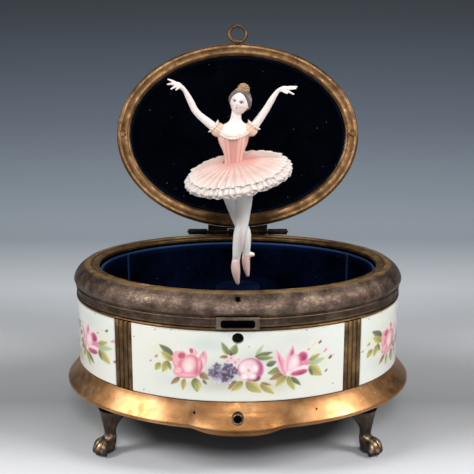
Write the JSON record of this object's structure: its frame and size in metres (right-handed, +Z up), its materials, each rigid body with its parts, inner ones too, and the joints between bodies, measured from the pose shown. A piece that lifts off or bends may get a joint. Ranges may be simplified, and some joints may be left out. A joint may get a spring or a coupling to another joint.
{
  "type": "ballerina jewellery box",
  "caption": "Oval enamel and brass musical jewellery box with a hinged lid and a porcelain ballerina on a turning spindle.",
  "frame": {"origin": "centre of the bounding box's footprint with the lid open, on the surface the feet stand on", "axes": "+X to the right along the box's long axis, +Y to the hinge at the back, +Z up"},
  "size_m": [0.1908, 0.1884, 0.2218],
  "materials": {
    "dark_bronze": "dark patinated and engraved",
    "satin_brass": "satin",
    "antique_brass": "aged satin",
    "cream_enamel": "gloss with painted flowers",
    "navy_velvet": "silk velvet",
    "steel": "brushed",
    "porcelain": "gloss glaze",
    "painted_hair": "painted gloss glaze",
    "pink_lace": "matt porcelain lace"
  },
  "bodies": {
    "case": {"collar_rim": "dark_bronze", "base_plate": "dark_bronze", "foot_front_left": "dark_bronze", "foot_front_right": "dark_bronze", "foot_back_left": "dark_bronze", "foot_back_right": "dark_bronze", "hinge_leaf_case": "dark_bronze", "inner_bezel": "satin_brass", "upper_bead": "satin_brass", "base_skirt": "satin_brass", "winding_escutcheon": "satin_brass", "bedplate": "satin_brass", "bearing_front": "satin_brass", "bearing_rear": "satin_brass", "comb_block": "satin_brass", "case_wall": "antique_brass", "pilaster_front_left": "antique_brass", "pilaster_front_right": "antique_brass", "pilaster_back_left": "antique_brass", "pilaster_back_right": "antique_brass", "catch_guide": "antique_brass", "enamel_front": "cream_enamel", "enamel_back": "cream_enamel", "enamel_left": "cream_enamel", "enamel_right": "cream_enamel", "lining_front": "navy_velvet", "lining_back": "navy_velvet", "lining_left": "navy_velvet", "lining_right": "navy_velvet", "false_floor": "navy_velvet", "pedestal": "navy_velvet", "catch_bracket": "steel", "catch_spring": "steel", "comb": "steel", "hinge_pin": "steel"},
    "lid": {"lid_shell": "cream_enamel", "lid_frame": "antique_brass", "lid_lining": "navy_velvet", "lid_ring": "antique_brass", "frame_screw_left": "antique_brass", "frame_screw_right": "antique_brass", "hinge_leaf_lid": "dark_bronze"},
    "button": {"catch_button": "dark_bronze"},
    "barrel": {"spring_barrel": "satin_brass", "mainspring": "steel"},
    "winder": {"winding_arbor": "steel", "ratchet_wheel": "steel"},
    "click": {"click": "steel"},
    "cylinder": {"music_cylinder": "satin_brass", "cylinder_wheel": "satin_brass"},
    "fan": {"governor_fan": "steel"},
    "spindle": {"spindle": "steel", "crown_wheel": "satin_brass", "turntable": "navy_velvet"},
    "figure": {"figure_legs": "porcelain", "figure_body": "porcelain", "figure_hair": "painted_hair", "figure_arm_left": "porcelain", "figure_arm_right": "porcelain", "figure_tutu": "pink_lace"}
  },
  "joints": [
    {"name": "lid_hinge", "type": "hinge", "parent": "case", "child": "lid", "pos_m": [0, 0.04698, 0.0933], "axis": [1, 0, 0], "range_deg": [0, 110]},
    {"name": "train_spin", "type": "hinge", "parent": "case", "child": "barrel", "pos_m": [0, -0.05092, 0.0308], "axis": [0, 1, 0], "continuous": true},
    {"name": "cylinder_spin", "type": "hinge", "parent": "case", "child": "cylinder", "pos_m": [0.009, -0.05092, 0.0308], "axis": [0, 1, 0], "continuous": true},
    {"name": "fan_spin", "type": "hinge", "parent": "case", "child": "fan", "pos_m": [0.0155, -0.02692, 0.0308], "axis": [0, 1, 0], "continuous": true},
    {"name": "spindle_spin", "type": "hinge", "parent": "case", "child": "spindle", "pos_m": [0, -0.01592, 0.05], "axis": [0, 0, 1], "continuous": true},
    {"name": "figure_lift", "type": "slide", "parent": "spindle", "child": "figure", "axis": [0, 0, 1], "range_m": [0, 0.3075]},
    {"name": "winding_turn", "type": "hinge", "parent": "case", "child": "winder", "pos_m": [0, -0.06592, 0.0308], "axis": [0, 1, 0], "continuous": true},
    {"name": "click_pivot", "type": "hinge", "parent": "case", "child": "click", "pos_m": [-0.007, -0.07832, 0.0278], "axis": [0, 1, 0], "range_deg": [-10, 0], "stiffness_Nm_per_rad": 0.0005, "springref_deg": 5.73},
    {"name": "catch_press", "type": "slide", "parent": "case", "child": "button", "axis": [0, 1, 0], "range_m": [0, 0.0015], "stiffness_N_per_m": 150, "springref_m": -0.001, "deforming": ["catch_spring"]}
  ],
  "couplings": [
    {"joint": "train_spin", "follows": "spindle_spin", "ratio": 2.2},
    {"joint": "cylinder_spin", "follows": "spindle_spin", "ratio": -2.2},
    {"joint": "fan_spin", "follows": "spindle_spin", "ratio": 4.95},
    {"joint": "figure_lift", "follows": "lid_hinge", "m_per_rad": 0.16}
  ]
}
